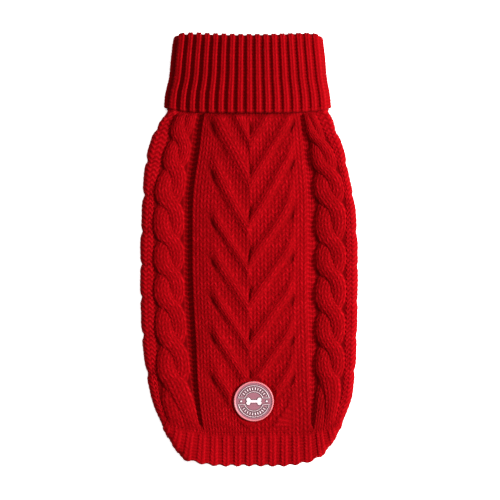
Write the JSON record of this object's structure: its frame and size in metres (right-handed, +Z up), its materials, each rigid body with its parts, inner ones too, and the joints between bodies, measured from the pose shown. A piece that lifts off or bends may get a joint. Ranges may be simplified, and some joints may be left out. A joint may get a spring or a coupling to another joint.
{
  "type": "dog sweater",
  "caption": "Knitted dog sweater laid flat, back up: cabled back with raised chevrons, ribbed folded collar and hem, plain belly with leg openings, round rubber badge.",
  "frame": {"origin": "centre of the bounding box on the surface the sweater lies on", "axes": "+X to the right across the garment as seen from above, +Y from the hem to the collar, +Z up out of the cabled back"},
  "size_m": [0.1813, 0.36, 0.0136],
  "materials": {
    "red_knit": "chunky acrylic knit, matt with a soft fuzz",
    "red_rib": "ribbed acrylic knit, matt with a soft fuzz",
    "badge_rubber": "soft moulded rubber, satin, with pale raised lines"
  },
  "bodies": {
    "root": {"back_panel": "red_knit", "belly_panel": "red_knit", "leg_cuff_left": "red_rib", "leg_cuff_right": "red_rib", "hem_back": "red_rib", "hem_belly": "red_rib", "collar": "red_rib", "badge": "badge_rubber"}
  },
  "joints": []
}
